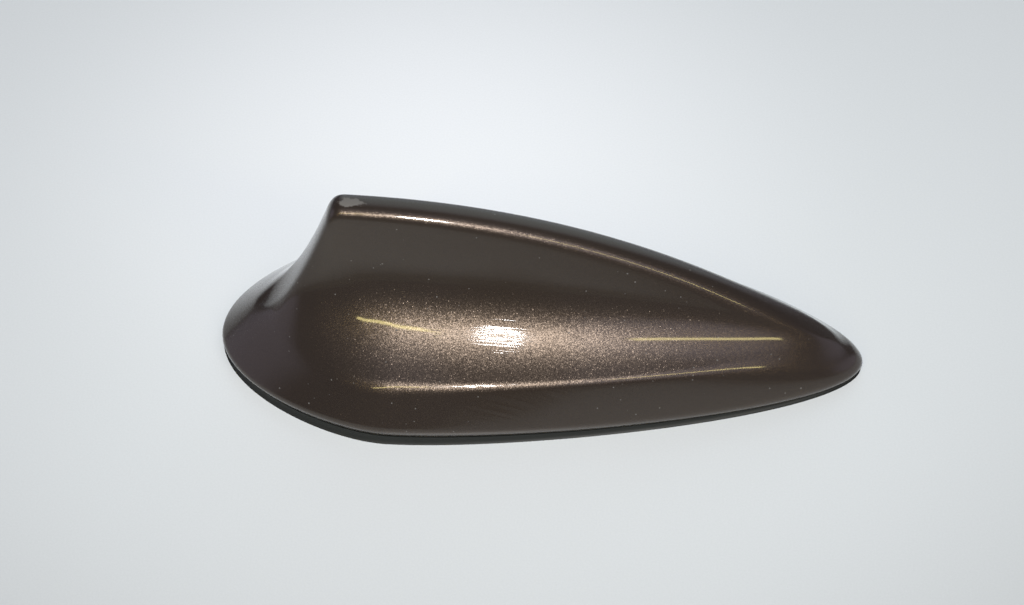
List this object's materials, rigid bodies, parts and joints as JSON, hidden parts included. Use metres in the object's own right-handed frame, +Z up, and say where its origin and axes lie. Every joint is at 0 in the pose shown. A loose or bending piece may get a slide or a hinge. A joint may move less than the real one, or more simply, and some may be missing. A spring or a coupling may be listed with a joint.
{
  "type": "shark-fin antenna cover",
  "caption": "Painted shark-fin cover of a car's roof antenna: a hollow moulded shell with a swept fin, side crease and inner snap hooks.",
  "frame": {"origin": "middle of the resting plane under the shell: mid-length, mid-width, at the lip's lower face", "axes": "+X towards the pointed nose, +Y to the cover's left, +Z up"},
  "size_m": [0.16, 0.065, 0.0509],
  "materials": {
    "paint": "dark bronze-brown metallic paint with clear coat"
  },
  "bodies": {
    "root": {"cover": "paint"}
  },
  "joints": []
}
